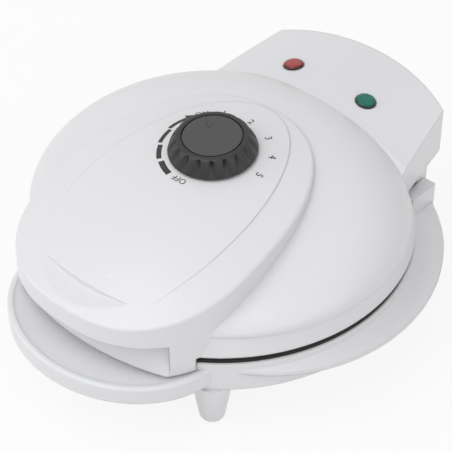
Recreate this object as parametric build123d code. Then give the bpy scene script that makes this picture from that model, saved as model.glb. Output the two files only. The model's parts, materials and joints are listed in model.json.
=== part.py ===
from build123d import *
import math
import os

# Heart waffle maker with a hinged lid. Millimetres, +Z up, the front handle at -Y,
# the hinge at +Y. The origin is on the table, under the vertical axis of the round lid.

# Overall heights and outlines
rim_z = 50.4                # lower rim of the closed lid, above the table
lid_radius = 100.0
reach = 127.0               # from the lid axis to the front tip and to the rear face
wall = 2.5                  # wall of the white mouldings
rim_gap = 4.2               # open gap between the lid rim and the base rim
base_bottom_z = 28.6        # lower edge of the base wall

# Hinge
hinge_y = 94.0
hinge_z = 45.8
pin_radius = 2.5
pin_running_gap = 0.05
knuckle_radius = 4.2
knuckle_inner_x = 51.0
knuckle_outer_x = 58.6
ear_inner_x = 59.1
ear_thickness = 7.3
ear_back_y = 95.5
ear_front_y = 76.0
ear_top_z = 49.6
ear_bottom_z = 35.4
pin_length = 13.6
pin_end_gap = 0.5

# Lid: band, dome, raised oval and rear housing
band_height = 10.0
dome_half_width = 99.5
dome_half_length = 94.0
dome_rise = 27.5
dome_power = 2.4
dome_exponent = 0.32
dome_lean = -0.45           # forward shift of a ring for each millimetre of height
dome_lift = 0.85            # share by which the rise grows per lid radius to the rear
dome_levels = (0.5, 0.65, 0.78, 0.87, 0.94, 0.98)

oval_half_width = 61.8
oval_half_length = 78.3
oval_centre_y = -38.3
oval_power = 2.36
oval_front_swell = 0.089
oval_points = 24
oval_bottom_drop = 7.5      # the handle end hangs this far under the lid rim
oval_edge_fillet = 1.6
crown_apex_y = 13.3
crown_apex_rise = 49.75
crown_length_radius = 338.0
crown_width_radius = 263.0
panel_half_width = 45.3
panel_half_length = 82.0
panel_centre_y = -45.0
panel_front_y = -93.5
panel_rise = 0.66           # the raised panel is the same crown, moved up and back
panel_back = 1.85

lip_radius = 145.6
lip_tip_y = -105.3
lip_slope = 8.0             # how far the ramp under the handle runs back as it rises
recess_half_width = 50.0
recess_height = 12.6
handle_gap = 1.0            # between the handle end and the round base wall
scoop_back_y = -101.6
scoop_back_radius = 137.0
scoop_front_y = -113.0
scoop_floor_radius = 400.0
scoop_depth = 2.2

housing_front_y = 62.0      # the housing starts inside the dome
housing_front_half_width = 65.7
housing_rear_half_width = 55.2
housing_rear_y = 114.0
housing_bottom_rise = 4.2
brow_y = 70.0               # from here the top of the housing falls steeply into the dome
brow_slope = 0.7
brow_rise = 40.0
brow_radius = 135.0         # the top is strongly rounded at the brow and flatter at the rear
tail_rise = 37.3
tail_radius = 277.0
housing_heel_radius = 11.0

# Base tray
rear_flat_y = 93.5
flange_radius = 116.0
flange_half_radius = 99.8   # the outline is two overlapping circles, side by side
flange_half_x = 11.8
flange_half_y = 9.8
flange_edge_drop = 11.5
flange_root_drop = 7.0
flange_valley_drop = 12.4
flange_thickness = 2.2
shelf_half_width = 61.6
shelf_centre_y = -75.0
shelf_rim_drop = 8.0
shelf_wall_height = 9.7
shelf_lip = 3.0
shelf_dish_depth = 3.2
shelf_edge_fillet = 1.4

# Base pan, feet and gland
pan_gap = 0.3
pan_thickness = 2.0
pan_well_radius = 75.0
pan_well_z = 15.0
pan_well_round = 4.0
pan_boss_radius = 3.2
pan_boss_sink = 0.3         # how far a screw boss is let into the base wall
vent_count = 5
vent_pitch = 9.0
vent_width = 3.0
vent_length = 26.0
vent_y = -28.0
foot_place_radius = 91.0
foot_angle = 38.0           # from the front, and the same from the rear
foot_top_radius = 10.6
foot_toe_radius = 6.0
foot_round = 4.4
gland_y = 45.0
gland_bore_radius = 3.4
gland_body_radius = 6.0
gland_flange_radius = 8.0
gland_flange = 1.8
gland_drop = 4.0

# Cooking plates, the same casting above and below
plate_gap = 0.4             # between the closed plates
plate_rim_radius = 96.5
plate_rim_thickness = 3.0
plate_lip_radius = 99.0     # the edge that lies on the rim of the moulding
plate_body_radius = 90.5
plate_depth = 11.0
ledge_inner_radius = 91.0
ledge_thickness = 2.2
plate_screw_radius = 93.6
plate_screw_angles = (30, 150, 210, 330)
plate_screw_bite = 2.2
mould_depth = 8.0
mould_count = 5
mould_tip_radius = 12.0
lobe_radius = 18.0
lobe_side = 17.0
lobe_reach = 47.0
grid_pitch = 11.0
grid_rib = 2.6
grid_height = 4.0
heater_radius = 45.0
heater_tube = 3.2
heater_open_angle = 36.0
heater_pin_radius = 1.4
heater_pin = 7.0
clamp_angles = (90, 210, 330)
clamp_width = 9.0
clamp_sheet = 1.0
clamp_side_gap = 0.3
reflector_radius = 66.0
reflector_standoff = 8.2
reflector_sheet = 0.5
post_radius = 3.5
post_place_radius = 61.0
post_angles = (30, 150, 270)
post_hole_depth = 5.0
screw_radius = 1.5
screw_head_radius = 2.6
screw_head = 1.8
screw_gap = 0.15            # round a screw in a clearance hole
thread_gap = 0.05           # round a screw in its own thread
screw_slot_width = 0.7
screw_slot_depth = 0.8
screw_end_gap = 0.4
fit_gap = 0.05              # sliding fit between pieces of one body

# Wiring pieces on the pan
terminal_x = -26.0
terminal_y = 24.0
terminal_length = 30.0
terminal_width = 14.0
terminal_height = 8.0
terminal_hole_radius = 1.8
terminal_hole_pitch = 9.0
fuse_radius = 2.2
fuse_length = 12.0
fuse_lead_radius = 0.6
fuse_lead = 4.0
fuse_x = 24.0
fuse_tab = 6.0

# Knob, shaft and thermostat
knob_y = -6.3
knob_radius = 22.7
knob_shoulder_radius = 18.4
knob_shoulder_rise = 8.2
knob_height = 9.3
knob_lift = 0.35            # gap under the knob
flute_count = 18
flute_radius = 2.4
flute_depth = 0.9
cap_radius = 15.2
cap_gap = 0.25
cap_thickness = 1.2
pointer_angle = 54.0        # from the rear towards the left
shaft_radius = 3.0
shaft_hole_gap = 0.6
shaft_in_knob = 5.4
shaft_flat = 0.8
shaft_in_thermostat = 8.0
knob_wall = 2.2
knob_hub_radius = 6.2
knob_edge_fillet = 1.2
pointer_width = 1.2
pointer_depth = 0.5
pointer_length = 3.4
thermostat_width = 26.0
thermostat_depth = 20.0
thermostat_height = 11.0
bracket_drop = 15.0         # from the knob seat down to the thermostat bracket
bracket_length = 62.0
bracket_width = 15.0
bracket_sheet = 1.4
boss_radius = 3.6
boss_side = 26.0
sensor_radius = 2.2
sensor_foot_radius = 6.0
sensor_foot = 1.2
sensor_y = -14.0
sensor_in_body = 3.0
screw_length = 6.0

# Lamps in the rear housing
lamp_side = 24.3
lamp_y = 87.0
lens_radius = 5.7
lens_rise = 1.2
lens_rim = 1.1
lens_rim_rise = 0.6
lens_gap = 0.15
lens_seat = 0.4             # depth of the flat seat sunk into the rounded housing
lens_stem = 4.0
lamp_radius = 2.5
lamp_height = 4.6
lamp_base_radius = 3.0
lamp_base = 1.2
lamp_back = 2.2             # how far a lamp stands behind the middle of its lens
board_half_width = 30.0
board_front_y = 86.3
board_back_y = 98.0
board_thickness = 1.6
board_rise = 26.0           # from the lid rim to the underside of the board
board_screw_x = 10.0
board_screw_y = 93.0

# Cover under the rear housing
cover_thickness = 2.0
cover_gap = 0.3
cover_front_y = 101.0
cover_screw_x = 38.0
cover_screw_y = 107.5

base_rim_z = rim_z - rim_gap
plate_middle_z = rim_z - rim_gap / 2
inner_radius = lid_radius - wall
crown_axis_z = rim_z + crown_apex_rise - crown_length_radius
base_ledge_z = plate_middle_z - plate_gap / 2 - plate_rim_thickness
plate_back_z = plate_middle_z - plate_gap / 2 - plate_depth
upper_back_z = plate_middle_z + plate_gap / 2 + plate_depth
reflector_z = plate_back_z - reflector_standoff
pan_floor_z = pan_well_z + pan_thickness
board_top_z = rim_z + board_rise + board_thickness
parts = {}


def polar(radius, angle):
    turn = math.radians(angle)
    return radius * math.cos(turn), radius * math.sin(turn)


def block(x0, x1, y0, y1, z0, z1):
    corner = Pos(x0, y0, z0)
    return corner * Box(x1 - x0, y1 - y0, z1 - z0, align=(Align.MIN, Align.MIN, Align.MIN))


def rod(radius, height, x=0.0, y=0.0, z=0.0):
    base = (Align.CENTER, Align.CENTER, Align.MIN)
    return Pos(x, y, z) * Cylinder(radius, height, align=base)


def cross_rod(radius, x0, x1, y, z):
    """A round bar along X."""
    return Pos(x0, y, z) * Rot(0, 90, 0) * rod(radius, x1 - x0)


def prism(sketch, z0, z1):
    return extrude(Pos(0, 0, z0) * sketch, amount=z1 - z0)


def flat_back_disc(radius):
    """A disc whose rear is cut straight, in step with the flat rear of the base."""
    back = rear_flat_y - (lid_radius - radius)
    strip = Pos(0, back - lid_radius) * Rectangle(4 * lid_radius, 2 * lid_radius)
    return Circle(radius) & strip


# Lid shell


def dome_ring(level, inset):
    """One ring of the dome: an ellipse that tilts up to the rear as the dome rises."""
    spread = (1 - level ** (1 / dome_exponent)) ** (1 / dome_power)
    rise = (dome_rise - inset / 2) * level
    slope = dome_rise * dome_lift * level / lid_radius
    along = 1 + dome_lean * slope
    half_length = (dome_half_length - inset) * spread * math.hypot(along, slope)
    half_width = (dome_half_width - inset) * spread
    tilt = math.atan2(slope, along)
    centre_z = rim_z + band_height + rise - inset * level
    plane = Plane(
        origin=(0, dome_lean * rise, centre_z),
        x_dir=(1, 0, 0),
        z_dir=(0, -math.sin(tilt), math.cos(tilt)),
    )
    return plane * Ellipse(half_width, half_length)


def dome(inset=0.0):
    foot = Pos(0, 0, rim_z) * Circle(lid_radius - inset)
    crease = dome_ring(0.0, inset)
    rings = [crease]
    for level in dome_levels:
        rings.append(dome_ring(level, inset))
    return loft([foot, crease], ruled=True) + loft(rings)


def oval_outline(inset=0.0):
    """The raised oval in plan: a full superellipse, a little wider at the front."""
    points = []
    for step in range(oval_points):
        turn = 2 * math.pi * step / oval_points
        across = math.copysign(abs(math.cos(turn)) ** (2 / oval_power), math.cos(turn))
        along = math.copysign(abs(math.sin(turn)) ** (2 / oval_power), math.sin(turn))
        half = (oval_half_width - inset) * (1 - oval_front_swell * along)
        points.append((half * across, oval_centre_y + (oval_half_length - inset) * along))
    return make_face(Spline(points, periodic=True))


def crown(drop=0.0):
    """Everything under the doubly curved top of the oval."""
    apex = crown_length_radius - drop
    half = oval_half_width + wall
    sag = crown_width_radius - math.sqrt(crown_width_radius ** 2 - half ** 2)
    floor = apex - crown_apex_rise - 2 * oval_bottom_drop
    top = ThreePointArc((-half, apex - sag), (0, apex), (half, apex - sag))
    sides = Polyline((half, apex - sag), (half, floor), (-half, floor), (-half, apex - sag))
    section = Plane.XZ * make_face(top + sides)
    swing = math.degrees(2 * oval_half_length / crown_length_radius)
    solid = revolve(Rot(-swing, 0, 0) * section, Axis.X, 2 * swing)
    return Pos(0, crown_apex_y, crown_axis_z) * solid


def crown_height(y):
    """Height of the crown's ridge line over one place on the Y axis."""
    return crown_axis_z + math.sqrt(crown_length_radius ** 2 - (y - crown_apex_y) ** 2)


def crown_tilt(y):
    """Degrees by which the crown falls towards the front at one place."""
    return math.degrees(math.asin((crown_apex_y - y) / crown_length_radius))


def oval(inset=0.0):
    """The raised oval that runs forward and hangs down as the handle end."""
    bottom = rim_z - oval_bottom_drop + inset
    body = prism(oval_outline(inset), bottom, rim_z + crown_apex_rise + wall)
    body = body & crown(inset)
    if inset == 0:
        top_face = body.faces().sort_by(Axis.Z)[-1]
        body = fillet(top_face.edges(), oval_edge_fillet)
    return body - rod(lid_radius + handle_gap + inset, rim_z - bottom, z=bottom)


def raised_panel():
    """The slightly higher inner oval, which fades out towards the handle end."""
    outline = Pos(0, panel_centre_y) * Ellipse(panel_half_width, panel_half_length)
    outline = outline & (Pos(0, panel_front_y + lid_radius) * Rectangle(lid_radius, 2 * lid_radius))
    bottom = rim_z + crown_apex_rise / 2 - wall
    body = prism(outline, bottom, rim_z + crown_apex_rise + 2 * panel_rise)
    return body & (Pos(0, panel_back, panel_rise) * crown())


def thumb_scoop():
    """A shallow trough in the handle end: a step at its rear edge, running out to the front."""
    length = scoop_back_y - scoop_front_y
    floor_tilt = crown_tilt(scoop_front_y) - math.degrees(math.atan(scoop_depth / length))
    trough = Pos(0, 0, scoop_floor_radius) * Rot(90, 0, 0) * Cylinder(scoop_floor_radius, 4 * length)
    trough = Pos(0, scoop_front_y, crown_height(scoop_front_y)) * Rot(floor_tilt, 0, 0) * trough
    behind = rod(scoop_back_radius, lid_radius, 0, scoop_back_y + scoop_back_radius, rim_z)
    return trough - behind


def lip_cone(inset=0.0):
    """The ramp under the handle, which runs back from the lip as it rises."""
    bottom = rim_z - oval_bottom_drop
    rise = oval_bottom_drop + recess_height
    taper = lip_slope * (rise + inset) / rise
    cone = Cone(
        lip_radius - inset,
        lip_radius - taper - inset,
        rise + inset,
        align=(Align.CENTER, Align.CENTER, Align.MIN),
    )
    return Pos(0, lip_tip_y + lip_radius, bottom) * cone


def finger_recess(inset=0.0):
    half = recess_half_width + inset
    bottom = rim_z - oval_bottom_drop - wall
    top = rim_z + recess_height + inset
    return block(-half, half, -reach - wall, knob_y + lip_tip_y / 2, bottom, top) - lip_cone(inset)


def housing_half_width(y):
    run = housing_rear_y - housing_front_y
    taper = (housing_front_half_width - housing_rear_half_width) / run
    return housing_front_half_width - taper * (y - housing_front_y)


def arch_height(x, rise, radius):
    """Height of a round arch at one place across it."""
    return rim_z + rise - radius + math.sqrt(radius ** 2 - x ** 2)


def housing_height(x, y):
    """Height of the rounded top of the housing, and its two slopes, at one place."""
    share = (y - brow_y) / (reach - brow_y)
    brow = arch_height(x, brow_rise, brow_radius)
    tail = arch_height(x, tail_rise, tail_radius)
    brow_fall = x / math.sqrt(brow_radius ** 2 - x ** 2)
    tail_fall = x / math.sqrt(tail_radius ** 2 - x ** 2)
    across = brow_fall + share * (tail_fall - brow_fall)
    return brow + share * (tail - brow), across, (tail - brow) / (reach - brow_y)


def arch(y, rise, radius):
    """An upright section of the space under the top of the housing."""
    half = housing_front_half_width + wall
    side_z = arch_height(half, rise, radius)
    low = rim_z + housing_bottom_rise
    top = ThreePointArc((-half, side_z), (0, rim_z + rise), (half, side_z))
    rest = Polyline((half, side_z), (half, low), (-half, low), (-half, side_z))
    return Plane.XZ.offset(-y) * make_face(top + rest)


def housing(inset=0.0):
    """The block behind the dome that carries the lamps and hides the hinge."""
    front_y = housing_front_y + inset
    front = housing_half_width(front_y) - inset
    rear = housing_half_width(reach) - inset
    corners = [(-front, front_y), (front, front_y), (rear, reach), (-rear, reach)]
    plan = make_face(Polyline(corners, close=True))
    plan = plan & Circle(reach - inset)
    bottom = rim_z + housing_bottom_rise
    start_rise = brow_rise - brow_slope * (brow_y - housing_front_y)
    sections = [
        arch(housing_front_y, start_rise - inset, brow_radius - inset),
        arch(brow_y, brow_rise - inset, brow_radius - inset),
        arch(reach, tail_rise - inset, tail_radius - inset),
    ]
    body = prism(plan, bottom, rim_z + crown_apex_rise) & loft(sections, ruled=True)
    heel_y = reach - housing_heel_radius
    heel_z = bottom + housing_heel_radius
    corner = block(-front, front, heel_y, reach, bottom, heel_z)
    round_end = rod(reach - inset, housing_heel_radius, z=bottom) - heel_tool(inset, heel_z)
    return body - (corner & round_end)


def heel_tool(inset, heel_z):
    """A ring whose section rounds the lower rear edge of the housing."""
    ring = Torus(reach - housing_heel_radius, housing_heel_radius - inset)
    core = rod(reach - housing_heel_radius, 2 * housing_heel_radius, z=heel_z - housing_heel_radius)
    return Pos(0, 0, heel_z) * ring + core


def hinge_bore(x0, x1, gap=0.0):
    return cross_rod(pin_radius + gap, x0, x1, hinge_y, hinge_z)


def knuckle():
    """The right hinge knuckle of the lid, hung from the side wall of the housing."""
    barrel = cross_rod(knuckle_radius, knuckle_inner_x, knuckle_outer_x, hinge_y, hinge_z)
    top = rim_z + housing_bottom_rise + knuckle_radius
    web = block(
        knuckle_inner_x,
        knuckle_outer_x,
        hinge_y - knuckle_radius,
        hinge_y + knuckle_radius,
        hinge_z,
        top,
    )
    return barrel + web - hinge_bore(knuckle_inner_x - wall, knuckle_outer_x + wall, pin_running_gap)


def knob_seat():
    """The place under the knob, square to the raised panel there."""
    y = knob_y - panel_back
    return Pos(0, knob_y, crown_height(y) + panel_rise) * Rot(crown_tilt(y), 0, 0)


def lamp_seat(side):
    """The seat of one lamp, square to the rounded top of the housing."""
    x = side * lamp_side
    height, across, along = housing_height(x, lamp_y)
    lean = math.degrees(math.atan(across))
    return Pos(x, lamp_y, height) * Rot(math.degrees(math.atan(along)), lean, 0)


def lid_inside():
    """The hollow under the dome and the oval, open to the hollow of the housing."""
    front = dome(wall) + oval(wall) - finger_recess(wall) - Pos(0, 0, -wall) * thumb_scoop()
    front = front + rod(inner_radius, wall, z=rim_z - wall)
    return [front, housing(wall)]


def plate_seat(bottom, top):
    """The ring inside a moulding that the rim of a cooking plate rests on."""
    ring = flat_back_disc(inner_radius + wall / 2) - flat_back_disc(ledge_inner_radius)
    return prism(ring, bottom, top)


def plate_screw_places():
    return [polar(plate_screw_radius, angle) for angle in plate_screw_angles]


def lid_shell():
    top = oval() + raised_panel() - thumb_scoop()
    shell = dome() + top + housing() - finger_recess()
    for hollow in lid_inside():
        shell = shell - hollow
    seat = to_lid(plate_seat(base_ledge_z - ledge_thickness, base_ledge_z))
    for x, y in plate_screw_places():
        seat = seat - rod(screw_radius + screw_gap, lid_radius, x, y, rim_z)
    shell = shell + seat
    for side in (1, -1):
        shell = shell + on_side(knuckle(), side)
        sunk = rod(lens_radius + lens_gap, wall, z=-lens_seat)
        through = rod(lens_radius - lens_rim + lens_gap, 4 * wall, z=-2 * wall)
        shell = shell - lamp_seat(side) * (sunk + through)
        boss = Pos(side * boss_side, 0, -bracket_drop) * rod(boss_radius, bracket_drop - wall)
        shell = shell + knob_seat() * boss
        hole = Pos(side * boss_side, 0, -bracket_drop) * rod(screw_radius + thread_gap, screw_length)
        shell = shell - knob_seat() * hole
        cover_z = rim_z + housing_bottom_rise + cover_thickness
        shell = shell + housing_boss(side * cover_screw_x, cover_screw_y, cover_z)
        shell = shell + housing_boss(side * board_screw_x, board_screw_y, board_top_z)
    return shell - knob_seat() * rod(shaft_radius + shaft_hole_gap, 4 * wall, z=-3 * wall)


def housing_boss(x, y, bottom):
    """A post that hangs from the top of the housing and takes a screw from below."""
    post = rod(boss_radius, housing_height(x, y)[0] - wall / 2 - bottom, x, y, bottom)
    return post - rod(screw_radius + thread_gap, screw_length + screw_end_gap, x, y, bottom)


def on_side(shape, side):
    """The shape itself on the right, its mirror image on the left."""
    if side > 0:
        return shape
    return mirror(shape, Plane.YZ)


def to_lid(shape):
    """The mirror image, above the joint of the plates, of a piece from below it."""
    return mirror(shape, Plane.XY.offset(plate_middle_z))


# Screws


def screw(length):
    """A pan head screw: the head hangs under z 0, the shank stands up from it."""
    head = rod(screw_head_radius, screw_head, z=-screw_head)
    head = chamfer(head.edges().group_by(Axis.Z)[0], screw_slot_width)
    half = screw_head_radius - screw_slot_width
    wide = screw_slot_width / 2
    for turn in (0, 90):
        slot = block(-half, half, -wide, wide, -screw_head, screw_slot_depth - screw_head)
        head = head - Rot(0, 0, turn) * slot
    return head + rod(screw_radius, length)


def screw_set(places, z, length, from_above=False):
    turn = 180 if from_above else 0
    return Compound([Pos(x, y, z) * Rot(turn, 0, 0) * screw(length) for x, y in places])


# Base tray


def flange():
    """The curved gutter round the base, which narrows and ends beside the shelf."""
    inner = lid_radius - wall / 2
    valley = (lid_radius + flange_radius) / 2
    heights = (flange_root_drop, flange_valley_drop, flange_edge_drop)
    top = [(r, rim_z - drop) for r, drop in zip((inner, valley, flange_radius), heights)]
    low = [(r, z - flange_thickness) for r, z in top]
    section = ThreePointArc(*top) + Line(top[2], low[2]) + ThreePointArc(*low) + Line(low[0], top[0])
    ring = revolve(Plane.XZ * make_face(section), Axis.Z)
    outline = Sketch()
    for side in (1, -1):
        outline = outline + Pos(side * flange_half_x, flange_half_y) * Circle(flange_half_radius)
    ring = ring & prism(outline, base_bottom_z, rim_z)
    return ring - block(-ear_inner_x, ear_inner_x, ear_front_y, reach, base_bottom_z, rim_z)


def shelf():
    """The dished shelf under the handle, hollow from below."""
    top = rim_z - shelf_rim_drop
    bottom = top - shelf_wall_height
    place = Pos(0, shelf_centre_y)
    half_length = reach + shelf_centre_y
    body = prism(place * Ellipse(shelf_half_width, half_length), bottom, top)
    body = fillet(body.edges().group_by(Axis.Z)[-1], shelf_edge_fillet)
    dish = scale(Sphere(1.0), (shelf_half_width - shelf_lip, half_length - shelf_lip, shelf_dish_depth))
    body = body - Pos(0, shelf_centre_y, top) * dish
    hollow = place * Ellipse(shelf_half_width - wall, half_length - wall)
    ceiling = top - shelf_dish_depth - wall
    body = body - prism(hollow, bottom, ceiling)
    return body - rod(lid_radius - wall / 2, lid_radius, z=bottom)


def ear():
    """The right hinge ear of the base, with a blind bore for the pin."""
    outer_x = ear_inner_x + ear_thickness
    body = block(ear_inner_x, outer_x, ear_front_y, ear_back_y, ear_bottom_z, ear_top_z)
    body = body - rod(inner_radius, base_rim_z) - rod(lid_radius, ear_top_z, z=base_rim_z)
    pin_end = knuckle_inner_x + pin_end_gap + pin_length
    return body - hinge_bore(ear_inner_x - wall, pin_end, fit_gap)


def pan_screw_places():
    radius = inner_radius - pan_boss_radius + pan_boss_sink
    sides = [polar(radius, angle) for angle in (0, 180, 270)]
    return sides + [(0, rear_flat_y - lid_radius + radius)]


def base_tray():
    tub = prism(flat_back_disc(lid_radius) - flat_back_disc(inner_radius), base_bottom_z, base_rim_z)
    body = tub + flange() + shelf()
    for side in (1, -1):
        body = body + on_side(ear(), side)
    seat = plate_seat(base_ledge_z - ledge_thickness, base_ledge_z)
    for x, y in plate_screw_places():
        seat = seat - rod(screw_radius + screw_gap, base_ledge_z, x, y)
    body = body + seat
    boss_z = base_bottom_z + pan_thickness
    for x, y in pan_screw_places():
        body = body + rod(pan_boss_radius, base_ledge_z - boss_z - ledge_thickness / 2, x, y, boss_z)
        body = body - rod(screw_radius + thread_gap, screw_length + screw_end_gap, x, y, boss_z)
    return body


# Base pan, feet and gland


def foot_places():
    turns = (90 - foot_angle, 90 + foot_angle, foot_angle - 90, -foot_angle - 90)
    return [polar(foot_place_radius, turn) for turn in turns]


def base_pan():
    rim = prism(flat_back_disc(inner_radius - pan_gap), base_bottom_z, base_bottom_z + pan_thickness)
    height = base_bottom_z + pan_thickness - pan_well_z
    well = rod(pan_well_radius, height, z=pan_well_z)
    well = fillet(well.edges().group_by(Axis.Z)[0], pan_well_round)
    inside = rod(pan_well_radius - pan_thickness, height, z=pan_floor_z)
    inside = fillet(inside.edges().group_by(Axis.Z)[0], pan_well_round - pan_thickness)
    body = rim + well - inside
    for place in foot_places() + pan_screw_places():
        body = body - rod(screw_radius + screw_gap, base_bottom_z, place[0], place[1], pan_well_z)
    body = body - rod(gland_body_radius + fit_gap, height, 0, gland_y, pan_well_z)
    body = body - rod(screw_radius + thread_gap, height, terminal_x, terminal_y, pan_well_z)
    for step in range(vent_count):
        x = (step - (vent_count - 1) / 2) * vent_pitch
        slot = Pos(x, vent_y) * SlotOverall(vent_length, vent_width, rotation=90)
        body = body - prism(slot, pan_well_z, pan_floor_z)
    return body


def foot(x, y):
    cone = Cone(
        foot_toe_radius,
        foot_top_radius,
        base_bottom_z,
        align=(Align.CENTER, Align.CENTER, Align.MIN),
    )
    cone = fillet(cone.edges().group_by(Axis.Z)[0], foot_round)
    depth = screw_length + screw_end_gap
    cone = cone - rod(screw_radius + thread_gap, depth, z=base_bottom_z - depth)
    return Pos(x, y) * cone


def cord_gland():
    low = pan_well_z - gland_drop
    body = rod(gland_body_radius, pan_floor_z + gland_flange - low, z=low)
    for z in (pan_well_z - gland_flange, pan_floor_z):
        body = body + rod(gland_flange_radius, gland_flange, z=z)
    return Pos(0, gland_y) * (body - rod(gland_bore_radius, base_bottom_z))


def hinge_pin():
    start = knuckle_inner_x + pin_end_gap
    return hinge_rod(start, start + pin_length)


def hinge_rod(x0, x1):
    return cross_rod(pin_radius, x0, x1, hinge_y, hinge_z)


# Cooking plate and heater, made as the lower set


def heart():
    """One heart in plan, its tip at the origin and its lobes towards +Y."""
    distance = math.hypot(lobe_side, lobe_reach)
    turn = math.atan2(lobe_side, lobe_reach) + math.asin(lobe_radius / distance)
    length = math.sqrt(distance ** 2 - lobe_radius ** 2)
    side = length * math.sin(turn)
    ahead = length * math.cos(turn)
    corners = [(0, 0), (side, ahead), (lobe_side, lobe_reach), (-lobe_side, lobe_reach), (-side, ahead)]
    sketch = make_face(Polyline(corners, close=True))
    for place in (-lobe_side, lobe_side):
        sketch = sketch + Pos(place, lobe_reach) * Circle(lobe_radius)
    return sketch


def grid():
    """Crossed ribs on a square pitch that cover one heart."""
    half = lobe_side + lobe_radius
    ribs = Sketch()
    rows = round(half / grid_pitch)
    for step in range(-rows, rows + 1):
        place = step * grid_pitch
        ribs = ribs + Pos(place, lobe_reach / 2) * Rectangle(grid_rib, 2 * lobe_reach)
        ribs = ribs + Pos(0, place + lobe_reach / 2) * Rectangle(2 * lobe_reach, grid_rib)
    return ribs


def cooking_plate():
    face_z = plate_middle_z - plate_gap / 2
    rim = prism(flat_back_disc(plate_rim_radius), base_ledge_z, face_z)
    body = rim + prism(flat_back_disc(plate_body_radius), plate_back_z, face_z)
    body = body + prism(flat_back_disc(plate_lip_radius), base_rim_z, face_z)
    floor_z = face_z - mould_depth
    for number in range(mould_count):
        place = Rot(0, 0, 180 + 360 * number / mould_count) * Pos(0, mould_tip_radius)
        body = body - place * prism(heart(), floor_z, face_z)
        body = body + place * prism(heart() & grid(), floor_z, floor_z + grid_height)
    for angle in post_angles:
        x, y = polar(post_place_radius, angle)
        body = body + rod(post_radius, reflector_standoff, x, y, reflector_z)
        body = body - rod(screw_radius + thread_gap, post_hole_depth, x, y, reflector_z)
    for x, y in plate_screw_places():
        depth = plate_screw_bite + screw_end_gap
        body = body - rod(screw_radius + thread_gap, depth, x, y, base_ledge_z)
    return body


def heater():
    """The ring heater on the back of the plate, open at the rear, with its two cold pins."""
    centre_z = plate_back_z - heater_tube
    start = 90 + heater_open_angle / 2
    section = Plane.XZ * (Pos(heater_radius, 0) * Circle(heater_tube))
    body = revolve(Rot(0, 0, start) * section, Axis.Z, 360 - heater_open_angle)
    for end in (start, 90 - heater_open_angle / 2):
        inwards = 1 if end > 90 else -1
        cold_pin = Rot(inwards * 90, 0, 0) * rod(heater_pin_radius, heater_pin)
        body = body + Rot(0, 0, end) * Pos(heater_radius, 0) * cold_pin
    return Pos(0, 0, centre_z) * body


def heater_clamps():
    inner = heater_tube + clamp_side_gap
    outer = inner + clamp_sheet
    depth = 2 * heater_tube + fit_gap
    half = clamp_width / 2
    strap = block(-outer, outer, -half, half, -depth - clamp_sheet, 0)
    strap = strap - block(-inner, inner, -half, half, -depth, 0)
    places = [Rot(0, 0, angle) * Pos(heater_radius, 0, plate_back_z) for angle in clamp_angles]
    return Compound([place * strap for place in places])


def reflector(sensor_hole):
    sheet = rod(reflector_radius, reflector_sheet, z=reflector_z - reflector_sheet)
    for angle in post_angles:
        x, y = polar(post_place_radius, angle)
        sheet = sheet - rod(screw_radius + screw_gap, reflector_z, x, y)
    if sensor_hole:
        sheet = sheet - rod(sensor_radius + 2 * clamp_side_gap, reflector_z, 0, sensor_y)
    return sheet


def reflector_screws():
    places = [polar(post_place_radius, angle) for angle in post_angles]
    length = reflector_sheet + post_hole_depth - screw_end_gap
    return screw_set(places, reflector_z - reflector_sheet, length)


def plate_screws():
    length = ledge_thickness + plate_screw_bite
    return screw_set(plate_screw_places(), base_ledge_z - ledge_thickness, length)


# Wiring pieces on the pan


def terminal_block():
    half_length = terminal_length / 2
    half_width = terminal_width / 2
    body = block(-half_length, half_length, -half_width, half_width, 0, terminal_height)
    for step in (-1, 1):
        x = step * terminal_hole_pitch
        tunnel = Rot(90, 0, 0) * rod(terminal_hole_radius, terminal_width, z=-half_width)
        body = body - Pos(x, 0, terminal_height / 2) * tunnel
    body = body - rod(screw_radius + screw_gap, terminal_height)
    body = body - rod(screw_head_radius + screw_gap, screw_head, z=terminal_height - screw_head)
    body = Pos(terminal_x, terminal_y, pan_floor_z) * body
    fixing_z = pan_floor_z + terminal_height - screw_head
    length = fixing_z - pan_well_z
    fixing = screw_set([(terminal_x, terminal_y)], fixing_z, length, from_above=True)
    return Compound([body] + list(fixing.solids()))


def thermal_fuse():
    """A fuse held against the lower reflector by its own tab."""
    under = reflector_z - reflector_sheet
    body = Rot(90, 0, 0) * rod(fuse_radius, fuse_length, z=-fuse_length / 2)
    lead = fuse_length / 2 + fuse_lead
    body = body + Rot(90, 0, 0) * rod(fuse_lead_radius, 2 * lead, z=-lead)
    tab = block(-fuse_tab, fuse_tab, -fuse_radius, fuse_radius, fuse_radius / 2, fuse_radius)
    return Pos(fuse_x, 0, under - fuse_radius) * (body + tab)


# Knob, shaft and thermostat, in the frame of the knob seat


def shaft_cut(gap=0.0):
    """What the flat takes away from the upper end of the shaft."""
    return block(-knob_radius, knob_radius, shaft_radius - shaft_flat + gap, knob_radius, 0, reach)


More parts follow.
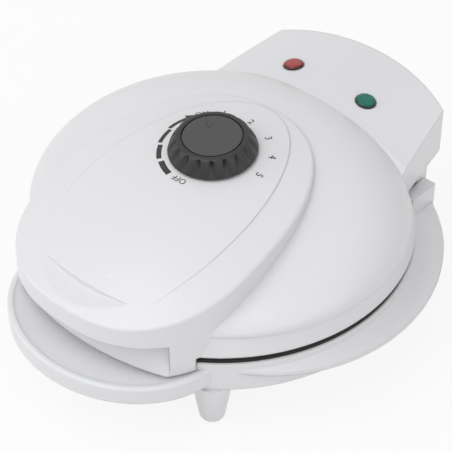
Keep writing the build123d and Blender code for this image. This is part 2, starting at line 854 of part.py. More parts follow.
def knob():
    slope = math.degrees(math.atan2(knob_radius - knob_shoulder_radius, knob_shoulder_rise))
    corners = [
        (0, 0),
        (knob_radius, 0),
        (knob_shoulder_radius, knob_shoulder_rise),
        (knob_shoulder_radius - knob_edge_fillet, knob_height),
        (0, knob_height),
    ]
    body = revolve(Plane.XZ * make_face(Polyline(corners, close=True)), Axis.Z)
    flute = Rot(0, -slope, 0) * rod(flute_radius, 2 * knob_height, z=-knob_height / 2)
    for step in range(flute_count):
        out = Pos(knob_radius + flute_radius - flute_depth)
        body = body - Rot(0, 0, 360 * (step + 0.5) / flute_count + 90) * out * flute
    hollow_top = knob_height - cap_thickness - knob_wall
    lost = hollow_top * math.tan(math.radians(slope))
    hollow = Cone(
        knob_radius - 2 * knob_wall,
        knob_radius - 2 * knob_wall - lost,
        hollow_top,
        align=(Align.CENTER, Align.CENTER, Align.MIN),
    )
    body = body - hollow
    hub = rod(knob_hub_radius, hollow_top + knob_wall / 2)
    bore = rod(shaft_radius + fit_gap, shaft_in_knob) - shaft_cut(fit_gap)
    body = body + hub - bore
    body = body - rod(cap_radius + cap_gap, cap_thickness, z=knob_height - cap_thickness)
    ring = cap_radius + cap_gap + pointer_length / 2
    notch = Pos(0, ring, knob_height) * Box(pointer_width, pointer_length, 2 * pointer_depth)
    body = body - Rot(0, 0, pointer_angle) * notch
    return knob_seat() * Pos(0, 0, knob_lift) * body


def knob_cap():
    return knob_seat() * Pos(0, 0, knob_lift) * rod(cap_radius, cap_thickness, z=knob_height - cap_thickness)


def control_shaft():
    bottom = -bracket_drop - bracket_sheet - shaft_in_thermostat
    top = knob_lift + shaft_in_knob
    body = rod(shaft_radius, top - bottom, z=bottom)
    return knob_seat() * (body - Pos(0, 0, knob_lift) * shaft_cut())


def thermostat_bracket():
    half_length = bracket_length / 2
    half_width = bracket_width / 2
    sheet = block(-half_length, half_length, -half_width, half_width, -bracket_sheet, 0)
    sheet = sheet - rod(shaft_radius + shaft_hole_gap, 2 * bracket_sheet, z=-bracket_sheet)
    for side in (1, -1):
        sheet = sheet - rod(screw_radius + screw_gap, 2 * bracket_sheet, side * boss_side, 0, -bracket_sheet)
    return knob_seat() * Pos(0, 0, -bracket_drop) * sheet


def bracket_screws():
    places = [(boss_side, 0), (-boss_side, 0)]
    length = bracket_sheet + screw_length - screw_end_gap
    return knob_seat() * screw_set(places, -bracket_drop - bracket_sheet, length)


def thermostat_body():
    half_width = thermostat_width / 2
    half_depth = thermostat_depth / 2
    body = block(-half_width, half_width, -half_depth, half_depth, -thermostat_height, 0)
    depth = shaft_in_thermostat + screw_end_gap
    body = body - rod(shaft_radius + pin_running_gap, depth, z=-depth)
    body = knob_seat() * Pos(0, 0, -bracket_drop - bracket_sheet) * body
    return body - sensor_rod(fit_gap)


def sensor_rod(gap=0.0):
    top = crown_height(knob_y) - bracket_drop - bracket_sheet - thermostat_height + sensor_in_body
    return rod(sensor_radius + gap, top - upper_back_z + gap, 0, sensor_y, upper_back_z)


def thermostat_sensor():
    return rod(sensor_foot_radius, sensor_foot, 0, sensor_y, upper_back_z) + sensor_rod()


# Lamps and the housing cover


def lens(side):
    flange_top = lens_rim_rise
    body = rod(lens_radius, flange_top + lens_seat, z=-lens_seat)
    body = chamfer(body.edges().group_by(Axis.Z)[-1], lens_rim_rise / 2)
    dome_radius = lens_radius - lens_rim
    ball_radius = (dome_radius ** 2 + lens_rise ** 2) / (2 * lens_rise)
    ball = Pos(0, 0, flange_top + lens_rise - ball_radius) * Sphere(ball_radius)
    body = body + (ball & rod(dome_radius, lens_rise, z=flange_top))
    body = body + rod(dome_radius, lens_stem, z=-lens_stem)
    return lamp_seat(side) * body


def lamp(side):
    across = housing_height(lamp_side, lamp_y)[1]
    x = side * (lamp_side - lens_stem * math.sin(math.atan(across)))
    y = lamp_y + lamp_back
    body = rod(lamp_radius, lamp_height, x, y, board_top_z)
    body = fillet(body.edges().group_by(Axis.Z)[-1], lamp_radius / 2)
    return body + rod(lamp_base_radius, lamp_base, x, y, board_top_z)


def lamp_board():
    bottom = board_top_z - board_thickness
    half = board_half_width
    board = block(-half, half, board_front_y, board_back_y, bottom, board_top_z)
    for side in (1, -1):
        board = board - rod(screw_radius + screw_gap, reach, side * board_screw_x, board_screw_y)
    return board


def board_screws():
    places = [(board_screw_x, board_screw_y), (-board_screw_x, board_screw_y)]
    return screw_set(places, board_top_z - board_thickness, board_thickness + screw_length)


def hinge_cover():
    inset = wall + cover_gap
    front = housing_half_width(cover_front_y) - inset
    rear = housing_half_width(reach) - inset
    corners = [(-front, cover_front_y), (front, cover_front_y), (rear, reach), (-rear, reach)]
    plan = make_face(Polyline(corners, close=True))
    plan = plan & Circle(reach - housing_heel_radius - cover_gap)
    bottom = rim_z + housing_bottom_rise
    plate = prism(plan, bottom, bottom + cover_thickness)
    for side in (1, -1):
        plate = plate - rod(screw_radius + screw_gap, reach, side * cover_screw_x, cover_screw_y)
    return plate


def cover_screws():
    places = [(cover_screw_x, cover_screw_y), (-cover_screw_x, cover_screw_y)]
    return screw_set(places, rim_z + housing_bottom_rise, cover_thickness + screw_length)


# The nodes

front_right, front_left = foot_places()[2], foot_places()[3]
rear_right, rear_left = foot_places()[0], foot_places()[1]
parts["base_tray"] = base_tray()
parts["base_pan"] = base_pan()
parts["foot_front_left"] = foot(*front_left)
parts["foot_front_right"] = foot(*front_right)
parts["foot_rear_left"] = foot(*rear_left)
parts["foot_rear_right"] = foot(*rear_right)
foot_screw_head_z = base_bottom_z + pan_thickness
parts["foot_screws"] = screw_set(foot_places(), foot_screw_head_z, pan_thickness + screw_length, True)
parts["base_screws"] = screw_set(pan_screw_places(), base_bottom_z, pan_thickness + screw_length)
parts["lower_plate"] = cooking_plate()
parts["lower_plate_screws"] = plate_screws()
parts["lower_heater"] = heater()
parts["lower_heater_clamps"] = heater_clamps()
parts["lower_reflector"] = reflector(False)
parts["lower_reflector_screws"] = reflector_screws()
parts["terminal_block"] = terminal_block()
parts["thermal_fuse"] = thermal_fuse()
parts["cord_gland"] = cord_gland()
parts["hinge_pin_right"] = hinge_pin()
parts["hinge_pin_left"] = on_side(hinge_pin(), -1)
parts["lid_shell"] = lid_shell()
parts["upper_plate"] = to_lid(parts["lower_plate"])
parts["upper_plate_screws"] = to_lid(parts["lower_plate_screws"])
parts["upper_heater"] = to_lid(parts["lower_heater"])
parts["upper_heater_clamps"] = to_lid(parts["lower_heater_clamps"])
parts["upper_reflector"] = to_lid(reflector(True))
parts["upper_reflector_screws"] = to_lid(parts["lower_reflector_screws"])
parts["thermostat_body"] = thermostat_body()
parts["thermostat_bracket"] = thermostat_bracket()
parts["thermostat_sensor"] = thermostat_sensor()
parts["bracket_screws"] = bracket_screws()
parts["hinge_cover"] = hinge_cover()
parts["cover_screws"] = cover_screws()
parts["red_lens"] = lens(-1)
parts["green_lens"] = lens(1)
parts["red_lamp"] = lamp(-1)
parts["green_lamp"] = lamp(1)
parts["lamp_board"] = lamp_board()
parts["board_screws"] = board_screws()
parts["knob"] = knob()
parts["knob_cap"] = knob_cap()
parts["control_shaft"] = control_shaft()

os.makedirs("parts", exist_ok=True)
for name, shape in parts.items():
    export_step(shape, os.path.join("parts", name + ".step"))
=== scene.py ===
import json
import math

import bmesh
import bpy
from mathutils import Matrix, Vector


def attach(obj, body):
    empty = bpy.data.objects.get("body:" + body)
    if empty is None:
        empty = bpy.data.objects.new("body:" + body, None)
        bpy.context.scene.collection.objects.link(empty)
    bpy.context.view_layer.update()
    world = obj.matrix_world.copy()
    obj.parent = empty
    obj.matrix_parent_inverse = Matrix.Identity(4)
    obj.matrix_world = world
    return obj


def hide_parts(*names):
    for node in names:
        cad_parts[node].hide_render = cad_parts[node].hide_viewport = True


# Heart waffle maker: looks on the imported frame. Metres, +Z up, handle at -Y, hinge at +Y.
MM = 0.001
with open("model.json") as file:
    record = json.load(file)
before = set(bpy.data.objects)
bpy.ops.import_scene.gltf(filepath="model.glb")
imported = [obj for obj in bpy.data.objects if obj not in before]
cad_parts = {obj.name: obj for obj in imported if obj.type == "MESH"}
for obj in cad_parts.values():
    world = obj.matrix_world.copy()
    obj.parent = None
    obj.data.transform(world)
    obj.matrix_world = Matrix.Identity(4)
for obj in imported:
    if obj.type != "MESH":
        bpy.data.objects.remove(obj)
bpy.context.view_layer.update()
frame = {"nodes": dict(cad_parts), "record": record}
nodes = frame["nodes"]

# Sizes of the lid, in millimetres
RIM_Z = 50.4
CROWN_APEX_Y = 13.3
CROWN_RISE = 49.75
CROWN_LENGTH_RADIUS = 338.0
CROWN_WIDTH_RADIUS = 263.0
PANEL_RISE = 0.66
PANEL_BACK = 1.85
KNOB_Y = -6.3
KNOB_LIFT = 0.35
LAMP_SIDE = 24.3
LAMP_Y = 87.0
LENS_HEIGHT = 1.8
BROW_Y = 70.0
BROW_RISE = 40.0
BROW_RADIUS = 135.0
TAIL_Y = 127.0
TAIL_RISE = 37.3
TAIL_RADIUS = 277.0


# Places on the lid


def crown_z(x, y):
    """Height of the raised panel over one place on the lid, in millimetres."""
    back = y - PANEL_BACK - CROWN_APEX_Y
    reach = CROWN_LENGTH_RADIUS - CROWN_WIDTH_RADIUS + math.sqrt(CROWN_WIDTH_RADIUS ** 2 - x ** 2)
    fall = CROWN_LENGTH_RADIUS - math.sqrt(reach ** 2 - back ** 2)
    return RIM_Z + CROWN_RISE + PANEL_RISE - fall


def knob_seat():
    """The frame of the knob: its base plane, square to the panel."""
    tilt = math.asin((CROWN_APEX_Y - KNOB_Y + PANEL_BACK) / CROWN_LENGTH_RADIUS)
    origin = Vector((0, KNOB_Y, crown_z(0, KNOB_Y))) * MM
    return Matrix.Translation(origin) @ Matrix.Rotation(tilt, 4, "X")


def arch(x, rise, radius):
    """Height over the rim and slope across, at one place on an arch of the housing."""
    flank = math.sqrt(radius ** 2 - x ** 2)
    return rise - radius + flank, x / flank


def lamp_seat(side):
    """The frame of a lens: its base plane on the top of the housing, at -1 left or 1 right."""
    x = side * LAMP_SIDE
    brow, brow_fall = arch(x, BROW_RISE, BROW_RADIUS)
    tail, tail_fall = arch(x, TAIL_RISE, TAIL_RADIUS)
    share = (LAMP_Y - BROW_Y) / (TAIL_Y - BROW_Y)
    z = RIM_Z + brow + share * (tail - brow)
    across = brow_fall + share * (tail_fall - brow_fall)
    along = (tail - brow) / (TAIL_Y - BROW_Y)
    spot = Matrix.Translation(Vector((x, LAMP_Y, z)) * MM)
    lean = Matrix.Rotation(math.atan(across), 4, "Y")
    return spot @ Matrix.Rotation(math.atan(along), 4, "X") @ lean


LAMP_TOPS = [tuple(lamp_seat(side) @ Vector((0, 0, LENS_HEIGHT * MM))) for side in (-1, 1)]


# Materials

SKIN_RELIEF = 0.0002
CAST_RELIEF = 0.0003
METAL_GRAIN = 500.0
DRAWN_STRETCH = (1.0, 1.0, 12.0)
# Painted shade on the lenses: where it starts and where it is full, as distances from the lens's top,
# in metres.
LENS_SHADE_START_REACH = 0.0041
LENS_SHADE_FULL_REACH = 0.0055
EDGE_SAMPLES = 6
MOULDED_EDGE = 0.0011


def new_material(name):
    """An empty finish, with its node tree, its shader and the piece's own coordinates."""
    material = bpy.data.materials.new(name)
    material.use_nodes = True
    tree = material.node_tree
    shader = tree.nodes["Principled BSDF"]
    place = tree.nodes.new("ShaderNodeTexCoord")
    return material, tree, shader, place.outputs["Object"]


def noise(tree, place, scale, detail=3.0):
    node = tree.nodes.new("ShaderNodeTexNoise")
    node.inputs["Scale"].default_value = scale
    node.inputs["Detail"].default_value = detail
    tree.links.new(place, node.inputs["Vector"])
    return node.outputs["Fac"]


def two_tone(tree, shader, fac, low, high, span=(0.3, 0.7)):
    """A colour that goes from low to high over the span of a pattern."""
    ramp = tree.nodes.new("ShaderNodeValToRGB")
    ramp.color_ramp.elements[0].position = span[0]
    ramp.color_ramp.elements[1].position = span[1]
    ramp.color_ramp.elements[0].color = (*low, 1)
    ramp.color_ramp.elements[1].color = (*high, 1)
    tree.links.new(fac, ramp.inputs["Fac"])
    tree.links.new(ramp.outputs["Color"], shader.inputs["Base Color"])
    return ramp


def vary_roughness(tree, shader, fac, low, high):
    spread = tree.nodes.new("ShaderNodeMapRange")
    spread.inputs["To Min"].default_value = low
    spread.inputs["To Max"].default_value = high
    tree.links.new(fac, spread.inputs["Value"])
    tree.links.new(spread.outputs["Result"], shader.inputs["Roughness"])


def bump(tree, shader, height, strength, distance, edge=0.0):
    """A fine relief, over edges that look rounded to the radius edge, in metres."""
    node = tree.nodes.new("ShaderNodeBump")
    node.inputs["Strength"].default_value = strength
    node.inputs["Distance"].default_value = distance
    tree.links.new(height, node.inputs["Height"])
    if edge > 0:
        rounding = tree.nodes.new("ShaderNodeBevel")
        rounding.samples = EDGE_SAMPLES
        rounding.inputs["Radius"].default_value = edge
        tree.links.new(rounding.outputs["Normal"], node.inputs["Normal"])
    tree.links.new(node.outputs["Normal"], shader.inputs["Normal"])


def moulded_plastic(name, low, high, rough, ripple=0.04, grain=900.0, coat=0.0, edge=0.0):
    """Moulded plastic: a faint tone change, a faint ripple and a fine skin."""
    material, tree, shader, place = new_material(name)
    two_tone(tree, shader, noise(tree, place, 14.0), low, high)
    vary_roughness(tree, shader, noise(tree, place, 60.0), rough[0], rough[1])
    bump(tree, shader, noise(tree, place, grain, 2.0), ripple, SKIN_RELIEF, edge)
    shader.inputs["IOR"].default_value = 1.5
    shader.inputs["Coat Weight"].default_value = coat
    shader.inputs["Coat Roughness"].default_value = 0.08
    return material


def worked_metal(name, low, high, rough):
    """Bare or plated metal with a fine drawn grain."""
    material, tree, shader, place = new_material(name)
    stretch = tree.nodes.new("ShaderNodeMapping")
    stretch.inputs["Scale"].default_value = DRAWN_STRETCH
    tree.links.new(place, stretch.inputs["Vector"])
    grain = noise(tree, stretch.outputs["Vector"], METAL_GRAIN, 4.0)
    two_tone(tree, shader, grain, low, high)
    vary_roughness(tree, shader, noise(tree, place, 80.0), rough[0], rough[1])
    bump(tree, shader, grain, 0.08, SKIN_RELIEF)
    shader.inputs["Metallic"].default_value = 1.0
    return material


def coated_casting(name):
    """Black non-stick coating on a cast plate, with fine speckle."""
    material, tree, shader, place = new_material(name)
    speckle = noise(tree, place, 1800.0, 2.0)
    two_tone(tree, shader, speckle, (0.008, 0.008, 0.008), (0.022, 0.022, 0.023), (0.45, 0.75))
    vary_roughness(tree, shader, noise(tree, place, 90.0), 0.32, 0.5)
    bump(tree, shader, noise(tree, place, 700.0, 4.0), 0.18, CAST_RELIEF)
    shader.inputs["Specular IOR Level"].default_value = 0.3
    return material


def tinted_lens(name, low, high, rim, centre):
    """Clear tinted plastic, with painted shade: the colour goes from the lit tint in the middle to a
    dark rim colour where the side turns down.
    """
    material, tree, shader, place = new_material(name)
    ramp = two_tone(tree, shader, noise(tree, place, 500.0, 2.0), low, high)
    # Painted shade: the dark rim colour is mixed in by distance from the lens's top.
    reach = tree.nodes.new("ShaderNodeVectorMath")
    reach.operation = "DISTANCE"
    reach.inputs[1].default_value = centre
    tree.links.new(place, reach.inputs[0])
    fade = tree.nodes.new("ShaderNodeMapRange")
    fade.interpolation_type = "SMOOTHSTEP"
    fade.inputs["From Min"].default_value = LENS_SHADE_START_REACH
    fade.inputs["From Max"].default_value = LENS_SHADE_FULL_REACH
    tree.links.new(reach.outputs["Value"], fade.inputs["Value"])
    painted_rim_shade = tree.nodes.new("ShaderNodeMix")
    painted_rim_shade.data_type = "RGBA"
    tree.links.new(fade.outputs["Result"], painted_rim_shade.inputs["Factor"])
    tree.links.new(ramp.outputs["Color"], painted_rim_shade.inputs["A"])
    painted_rim_shade.inputs["B"].default_value = (*rim, 1)
    tree.links.new(painted_rim_shade.outputs["Result"], shader.inputs["Base Color"])
    vary_roughness(tree, shader, noise(tree, place, 200.0), 0.08, 0.16)
    bump(tree, shader, noise(tree, place, 900.0, 1.0), 0.05, SKIN_RELIEF)
    shader.inputs["IOR"].default_value = 1.42
    return material


def printed_ink(name):
    material, tree, shader, place = new_material(name)
    speckle = noise(tree, place, 2500.0, 2.0)
    two_tone(tree, shader, speckle, (0.012, 0.012, 0.013), (0.03, 0.03, 0.032))
    vary_roughness(tree, shader, noise(tree, place, 300.0), 0.35, 0.5)
    return material


def glass_bulb(name):
    material, tree, shader, place = new_material(name)
    two_tone(tree, shader, noise(tree, place, 400.0), (0.75, 0.62, 0.5), (0.9, 0.8, 0.7))
    vary_roughness(tree, shader, noise(tree, place, 300.0), 0.03, 0.08)
    shader.inputs["Transmission Weight"].default_value = 0.8
    return material


finishes = {
    "white_plastic": moulded_plastic(
        "white_moulding", (0.755, 0.758, 0.772), (0.767, 0.77, 0.784), (0.29, 0.34), coat=0.1,
        edge=MOULDED_EDGE),
    "pan_plastic": moulded_plastic(
        "pan_moulding", (0.60, 0.60, 0.59), (0.65, 0.65, 0.64), (0.45, 0.55), ripple=0.12),
    "black_plate": coated_casting("plate_coating"),
    "steel": worked_metal(
        "plated_steel", (0.42, 0.42, 0.43), (0.56, 0.56, 0.57), (0.25, 0.38)),
    "heater_steel": worked_metal(
        "heater_steel", (0.10, 0.085, 0.07), (0.24, 0.21, 0.18), (0.4, 0.55)),
    "aluminium_sheet": worked_metal(
        "aluminium_sheet", (0.55, 0.56, 0.57), (0.68, 0.69, 0.7), (0.3, 0.42)),
    "ceramic_white": moulded_plastic(
        "ceramic", (0.62, 0.59, 0.52), (0.72, 0.69, 0.62), (0.6, 0.75), ripple=0.2),
    "fuse_metal": worked_metal(
        "fuse_metal", (0.5, 0.5, 0.48), (0.62, 0.62, 0.6), (0.25, 0.35)),
    "black_rubber": moulded_plastic(
        "gland_rubber", (0.012, 0.012, 0.012), (0.025, 0.025, 0.025), (0.6, 0.75), ripple=0.25),
    "dark_plastic": moulded_plastic(
        "knob_plastic", (0.016, 0.016, 0.017), (0.024, 0.024, 0.025), (0.38, 0.50), ripple=0.18,
        grain=2600.0),
    "dark_cap": moulded_plastic(
        "knob_disc", (0.054, 0.054, 0.055), (0.064, 0.064, 0.065), (0.45, 0.55), ripple=0.12,
        grain=3000.0),
    # In both lenses, the third colour is painted shade for the side that turns down.
    "red_lens": tinted_lens(
        "red_lens", (0.32, 0.030, 0.030), (0.46, 0.060, 0.056), (0.045, 0.003, 0.003), LAMP_TOPS[0]),
    "green_lens": tinted_lens(
        "green_lens", (0.0, 0.12, 0.082), (0.004, 0.19, 0.135), (0.0, 0.022, 0.018), LAMP_TOPS[1]),
    "lamp_glass": glass_bulb("lamp_glass"),
    "board_green": moulded_plastic(
        "board_lacquer", (0.02, 0.10, 0.04), (0.03, 0.14, 0.055), (0.25, 0.35), ripple=0.1),
    "ink": printed_ink("dial_ink"),
}

for part in frame["record"]["subparts"]:
    node = nodes[part["node"]]
    node.data.materials.clear()
    node.data.materials.append(finishes[part["material_slot"]])


# Making a piece

MERGE_REACH = 1e-7
SMOOTH_ANGLE = math.radians(35.0)


def finish_piece(name, bm, finish, body, place=None):
    """Makes the object of one piece from a bmesh, in its place, with its finish."""
    bmesh.ops.remove_doubles(bm, verts=bm.verts, dist=MERGE_REACH)
    bmesh.ops.recalc_face_normals(bm, faces=bm.faces)
    if place is not None:
        bmesh.ops.transform(bm, matrix=place, verts=bm.verts)
    mesh = bpy.data.meshes.new(name)
    bm.to_mesh(mesh)
    bm.free()
    mesh.materials.append(finishes[finish])
    mesh.shade_smooth()
    mesh.set_sharp_from_angle(angle=SMOOTH_ANGLE)
    piece = bpy.data.objects.new(name, mesh)
    bpy.context.scene.collection.objects.link(piece)
    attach(piece, body)
    return piece


def turned(profile, steps):
    """A profile of (radius, height) points in millimetres, spun round Z and closed on the axis."""
    bm = bmesh.new()
    verts = [bm.verts.new((r * MM, 0, z * MM)) for r, z in profile]
    edges = [bm.edges.new(pair) for pair in zip(verts, verts[1:])]
    bmesh.ops.spin(
        bm, geom=verts + edges, cent=(0, 0, 0), axis=(0, 0, 1), angle=math.tau, steps=steps,
        use_merge=True)
    bmesh.ops.remove_doubles(bm, verts=bm.verts, dist=MERGE_REACH)
    return bm


# Control knob, in millimetres over its base plane

GRIP_LOBES = 18
GRIP_LOBE_STEPS = 12
GRIP_DEPTH = 2.0
GRIP_PROFILE = (
    (0, 1.2), (17.0, 1.2), (20.4, 0.0), (22.3, 0.0), (22.65, 0.2), (22.7, 0.6), (22.6, 1.2),
    (22.3, 2.1), (21.9, 3.1), (21.4, 4.2), (20.85, 5.3), (20.3, 6.3), (19.8, 7.1), (19.3, 7.8),
    (18.8, 8.4), (18.3, 8.85), (17.6, 9.12), (16.8, 9.27), (16.0, 9.3), (15.75, 9.27),
    (15.62, 9.1), (15.6, 8.6), (15.55, 8.1), (0, 8.1),
)
GROOVE_INNER_RADIUS = 18.0
GROOVE_FOOT = 0.8
GROOVE_RUN = 6.4
GROOVE_TOP = 9.0
GROOVE_RUN_OUT = 1.3
GROOVE_FOOT_POWER = 1.2
GROOVE_NARROWING = 3.0
GROOVE_DEEPENING = 0.7
DISC_PROFILE = (
    (0, 8.15), (14.9, 8.15), (14.95, 8.95), (14.86, 9.2), (14.6, 9.31), (14.1, 9.34), (0, 9.34),
)
DISC_STEPS = 144
POINTER_TURN = math.radians(54)
POINTER_STROKES = (
    ((0.1, 12.5), (-0.9, 7.9)), ((-0.9, 7.9), (-0.1, 6.1)), ((-0.1, 6.1), (1.7, 7.4)),
)
POINTER_WIDTH = 0.55
POINTER_OVERLAP = 0.5
POINTER_THICK = 0.05
POINTER_HEIGHT = 9.345


def unit_share(value):
    return min(1.0, max(0.0, value))


def knob_grip():
    """The skirt, with grooves that are deep and narrow above and fade out at the foot."""
    bm = turned(GRIP_PROFILE, GRIP_LOBES * GRIP_LOBE_STEPS)
    for vert in bm.verts:
        radius = math.hypot(vert.co.x, vert.co.y) / MM
        height = vert.co.z / MM
        if radius < GROOVE_INNER_RADIUS or height < GROOVE_FOOT:
            continue
        turn = math.atan2(vert.co.y, vert.co.x)
        share = unit_share((height - GROOVE_FOOT) / GROOVE_RUN)
        wave = 0.5 - 0.5 * math.cos(GRIP_LOBES * turn)
        groove = wave ** (GROOVE_FOOT_POWER + GROOVE_NARROWING * share)
        crest = unit_share((GROOVE_TOP - height) / GROOVE_RUN_OUT)
        depth = GRIP_DEPTH * groove * share ** GROOVE_DEEPENING * crest
        vert.co.x *= 1 - depth / radius
        vert.co.y *= 1 - depth / radius
    return bm


def knob_disc():
    return turned(DISC_PROFILE, DISC_STEPS)


def pointer_mark():
    """A small hooked tick near the rim of the disc, standing for the pointer."""
    bm = bmesh.new()
    for start, end in POINTER_STROKES:
        run = Vector(end) - Vector(start)
        middle = (Vector(start) + Vector(end)) / 2
        made = bmesh.ops.create_cube(bm, size=1)
        length = run.length + POINTER_OVERLAP
        shape = Matrix.Diagonal((POINTER_WIDTH * MM, length * MM, POINTER_THICK * MM, 1))
        turn = Matrix.Rotation(math.atan2(-run.x, run.y), 4, "Z")
        shift = Matrix.Translation((middle.x * MM, middle.y * MM, POINTER_HEIGHT * MM))
        bmesh.ops.transform(bm, matrix=shift @ turn @ shape, verts=made["verts"])
    bmesh.ops.transform(bm, matrix=Matrix.Rotation(POINTER_TURN, 4, "Z"), verts=bm.verts)
    return bm


knob_place = knob_seat() @ Matrix.Translation((0, 0, KNOB_LIFT * MM))
grip = finish_piece("knob_grip", knob_grip(), "dark_plastic", "control_knob", knob_place)
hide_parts("knob")
disc = finish_piece("knob_top_disc", knob_disc(), "dark_cap", "control_knob", knob_place)
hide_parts("knob_cap")
finish_piece("knob_pointer", pointer_mark(), "ink", "control_knob", knob_place)


# Printed scale round the knob: angles in degrees, clockwise from the back, and millimetres

PRINT_LIFT = 0.05
PRINT_THICK = 0.04
PRINT_MERGE_REACH = 1e-4
SCALE_MARKS = (
    ("1", -30, 29.5), ("2", 1, 28.5), ("3", 31.5, 28.8), ("4", 59, 29.6), ("5", 87, 28.6),
    ("ON", -52, 29.6), ("OFF", 179, 25.6),
)
NUMBER_SIZE = 5.4
WORD_SIZE = 4.6
LETTER_STEPS = 6
BARS = ((-154.7, 3.0, 26.3), (-128, 2.5, 27.0), (-102.5, 2.1, 27.9), (-79, 1.9, 29.2))
BAR_TURN = 22
BAR_STEPS = 16
ARROW_RADIUS = 29.6
ARROW_FOOT = -68
ARROW_TIP = -56
ARROW_HALF = 2.3


def dial_point(angle, radius):
    """A place on the flat dial, in millimetres from the knob's axis."""
    turn = math.radians(90 - angle)
    return radius * math.cos(turn), radius * math.sin(turn), 0


def lay_on_panel(bm):
    """Moves a flat print, drawn in millimetres over the table, onto the curved panel."""
    for vert in bm.verts:
        x, y, z = vert.co
        vert.co = Vector((x, y, crown_z(x, y) + PRINT_LIFT + z)) * MM


def scale_bar(middle, width, radius):
    """A bar of the scale, bent round the knob."""
    bm = bmesh.new()
    low, high = radius - width / 2, radius + width / 2
    start = math.radians(90 - middle + BAR_TURN / 2)
    side = [bm.verts.new((r * math.cos(start), r * math.sin(start), 0)) for r in (low, high)]
    edge = bm.edges.new(side)
    bmesh.ops.spin(
        bm, geom=side + [edge], cent=(0, 0, 0), axis=(0, 0, 1), angle=-math.radians(BAR_TURN),
        steps=BAR_STEPS, use_merge=False)
    return bm


def scale_arrow():
    """The head at the end of the bars, which points to ON."""
    bm = bmesh.new()
    places = ((ARROW_FOOT, -ARROW_HALF), (ARROW_FOOT, ARROW_HALF), (ARROW_TIP, 0))
    bm.faces.new([bm.verts.new(dial_point(angle, ARROW_RADIUS + offset)) for angle, offset in places])
    return bm


def scale_text(words, angle, radius, size):
    """Flat letters that stand square to the dial's radius."""
    curve = bpy.data.curves.new("scale_" + words, "FONT")
    curve.body = words
    curve.size = size
    curve.align_x = "CENTER"
    curve.align_y = "CENTER"
    curve.resolution_u = LETTER_STEPS
    holder = bpy.data.objects.new("scale_" + words, curve)
    bpy.context.scene.collection.objects.link(holder)
    bpy.context.view_layer.update()
    mesh = bpy.data.meshes.new_from_object(holder)
    bm = bmesh.new()
    bm.from_mesh(mesh)
    bpy.data.objects.remove(holder)
    bpy.data.meshes.remove(mesh)
    bpy.data.curves.remove(curve)
    turn = Matrix.Rotation(math.radians(90 - angle) - math.pi / 2, 4, "Z")
    spot = Matrix.Translation(dial_point(angle, radius))
    bmesh.ops.transform(bm, matrix=spot @ turn, verts=bm.verts)
    return bm


def print_piece(name, bm):
    """Thickens a flat print, lays it on the panel round the knob and finishes it in ink."""
    bmesh.ops.remove_doubles(bm, verts=bm.verts, dist=PRINT_MERGE_REACH)
    top = bmesh.ops.extrude_face_region(bm, geom=list(bm.faces))
    verts = [g for g in top["geom"] if isinstance(g, bmesh.types.BMVert)]
    bmesh.ops.translate(bm, verts=verts, vec=(0, 0, PRINT_THICK))
    bmesh.ops.translate(bm, verts=bm.verts, vec=(0, KNOB_Y, 0))
    bmesh.ops.recalc_face_normals(bm, faces=bm.faces)
    lay_on_panel(bm)
    finish_piece(name, bm, "ink", "lid")


for number, (middle, width, radius) in enumerate(BARS):
    print_piece("scale_bar_%d" % (number + 1), scale_bar(middle, width, radius))
print_piece("scale_arrow", scale_arrow())
for words, angle, radius in SCALE_MARKS:
    size = NUMBER_SIZE if len(words) == 1 else WORD_SIZE
    print_piece("scale_mark_" + words.lower(), scale_text(words, angle, radius, size))


# Lamp lenses, in millimetres over the housing

LENS_PROFILE = (
    (0, -1.0), (4.4, -1.0), (4.45, 0.05), (5.55, 0.05), (5.65, 0.25), (5.55, 0.6), (5.2, 1.1),
    (4.7, 1.45), (4.1, 1.66), (3.0, 1.76), (1.5, 1.79), (0, LENS_HEIGHT),
)
LENS_STEPS = 96


def lens():
    return turned(LENS_PROFILE, LENS_STEPS)


red = finish_piece("lens_red", lens(), "red_lens", "lid", lamp_seat(-1))
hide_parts("red_lens")
green = finish_piece("lens_green", lens(), "green_lens", "lid", lamp_seat(1))
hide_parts("green_lens")


# Floor and light

WHITE = (1, 1, 1, 1)
FLOOR_COLOUR = (0.85, 0.85, 0.855, 1)
FLOOR_ROUGHNESS = 0.8
FLOOR_GLOW = 0.88
FLOOR_HALF = 4.0
SKY_BRIGHT_SIDE = (0.26, -0.62, 0.74)
SKY_DARK = 0.17
SKY_BRIGHT = 0.7


def seen_rays(tree):
    """One for rays from the camera, from gloss and through clear pieces, and none for the rest."""
    path = tree.nodes.new("ShaderNodeLightPath")
    total = path.outputs["Is Camera Ray"]
    for kind in ("Is Glossy Ray", "Is Transmission Ray"):
        join = tree.nodes.new("ShaderNodeMath")
        join.operation = "ADD"
        join.use_clamp = True
        tree.links.new(total, join.inputs[0])
        tree.links.new(path.outputs[kind], join.inputs[1])
        total = join.outputs[0]
    return total


def floor_material():
    """A pale floor that is nearly white where it is seen, and still takes a shadow."""
    material = bpy.data.materials.new("pale_floor")
    material.use_nodes = True
    tree = material.node_tree
    shader = tree.nodes["Principled BSDF"]
    shader.inputs["Base Color"].default_value = FLOOR_COLOUR
    shader.inputs["Roughness"].default_value = FLOOR_ROUGHNESS
    output = tree.nodes["Material Output"]
    glow = tree.nodes.new("ShaderNodeEmission")
    glow.inputs["Color"].default_value = WHITE
    share = tree.nodes.new("ShaderNodeMath")
    share.operation = "MULTIPLY"
    share.inputs[1].default_value = FLOOR_GLOW
    tree.links.new(seen_rays(tree), share.inputs[0])
    mix = tree.nodes.new("ShaderNodeMixShader")
    tree.links.new(share.outputs[0], mix.inputs["Fac"])
    tree.links.new(shader.outputs["BSDF"], mix.inputs[1])
    tree.links.new(glow.outputs["Emission"], mix.inputs[2])
    tree.links.new(mix.outputs["Shader"], output.inputs["Surface"])
    return material


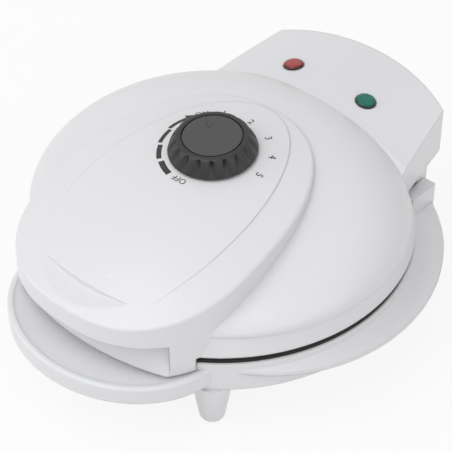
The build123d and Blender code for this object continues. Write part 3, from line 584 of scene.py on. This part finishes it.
def plain_floor():
    mesh = bpy.data.meshes.new("floor")
    bm = bmesh.new()
    bmesh.ops.create_grid(bm, x_segments=1, y_segments=1, size=FLOOR_HALF)
    bm.to_mesh(mesh)
    bm.free()
    mesh.materials.append(floor_material())
    sheet = bpy.data.objects.new("floor", mesh)
    bpy.context.scene.collection.objects.link(sheet)
    return sheet


def studio_world():
    """Soft light, brighter from the front and above, with a white sky where it is seen."""
    world = bpy.data.worlds.new("studio")
    world.use_nodes = True
    tree = world.node_tree
    soft = tree.nodes["Background"]
    soft.inputs["Color"].default_value = WHITE
    sky_side = tree.nodes.new("ShaderNodeTexCoord")
    facing = tree.nodes.new("ShaderNodeVectorMath")
    facing.operation = "DOT_PRODUCT"
    facing.inputs[1].default_value = SKY_BRIGHT_SIDE
    tree.links.new(sky_side.outputs["Generated"], facing.inputs[0])
    level = tree.nodes.new("ShaderNodeMapRange")
    level.inputs["From Min"].default_value = -1.0
    level.inputs["To Min"].default_value = SKY_DARK
    level.inputs["To Max"].default_value = SKY_BRIGHT
    tree.links.new(facing.outputs["Value"], level.inputs["Value"])
    tree.links.new(level.outputs["Result"], soft.inputs["Strength"])
    seen = tree.nodes.new("ShaderNodeBackground")
    seen.inputs["Color"].default_value = WHITE
    seen.inputs["Strength"].default_value = 1.0
    mix = tree.nodes.new("ShaderNodeMixShader")
    tree.links.new(seen_rays(tree), mix.inputs["Fac"])
    tree.links.new(soft.outputs["Background"], mix.inputs[1])
    tree.links.new(seen.outputs["Background"], mix.inputs[2])
    tree.links.new(mix.outputs["Shader"], tree.nodes["World Output"].inputs["Surface"])
    return world


def softbox(name, place, target, size, power):
    """A rectangular lamp at its place, aimed at a target, in metres and watts."""
    lamp = bpy.data.lights.new(name, "AREA")
    lamp.shape = "RECTANGLE"
    lamp.size, lamp.size_y = size
    lamp.energy = power
    holder = bpy.data.objects.new(name, lamp)
    holder.location = place
    aim = Vector(target) - Vector(place)
    holder.rotation_euler = aim.to_track_quat("-Z", "Y").to_euler()
    bpy.context.scene.collection.objects.link(holder)


floor = plain_floor()
bpy.context.scene.world = studio_world()
softbox("overhead_box", (-0.2, -0.6, 1.3), (0, 0, 0.05), (1.1, 1.1), 6.9)
softbox("front_box", (1.0, -0.6, 0.85), (0, 0, 0.06), (1.2, 0.9), 1.5)
softbox("left_box", (-0.9, -0.8, 0.6), (0, 0, 0.05), (0.6, 0.5), 1.9)
softbox("right_box", (1.2, 0.1, 0.6), (0, 0, 0.06), (0.7, 0.7), 1.0)


# Camera: its axes, and where it aims from the middle of the lid's rim, in metres

RIGHT = Vector((0.7565, 0.654, 0.0))
UP = Vector((-0.4366, 0.505, 0.7445))
BACK = Vector((0.4869, -0.5632, 0.6676))
AIM_RIGHT = 0.0022726
AIM_DOWN = 0.0039353
CAMERA_DISTANCE = 0.9283
SENSOR_WIDTH = 36.0
PHOTO_WIDTH = 452
FOCAL_PIXELS = 1800
NEAREST_SEEN = 0.01

camera_data = bpy.data.cameras.new("photo_camera")
camera_data.sensor_width = SENSOR_WIDTH
camera_data.lens = SENSOR_WIDTH * FOCAL_PIXELS / PHOTO_WIDTH
camera_data.clip_start = NEAREST_SEEN
camera = bpy.data.objects.new("photo_camera", camera_data)
aim_point = RIGHT * AIM_RIGHT - UP * AIM_DOWN + Vector((0, 0, RIM_Z * MM))
camera_turn = Matrix((RIGHT, UP, BACK)).transposed().to_4x4()
camera.matrix_world = Matrix.Translation(aim_point + BACK * CAMERA_DISTANCE) @ camera_turn
bpy.context.scene.collection.objects.link(camera)
bpy.context.scene.camera = camera

bpy.context.scene.view_settings.view_transform = "Standard"
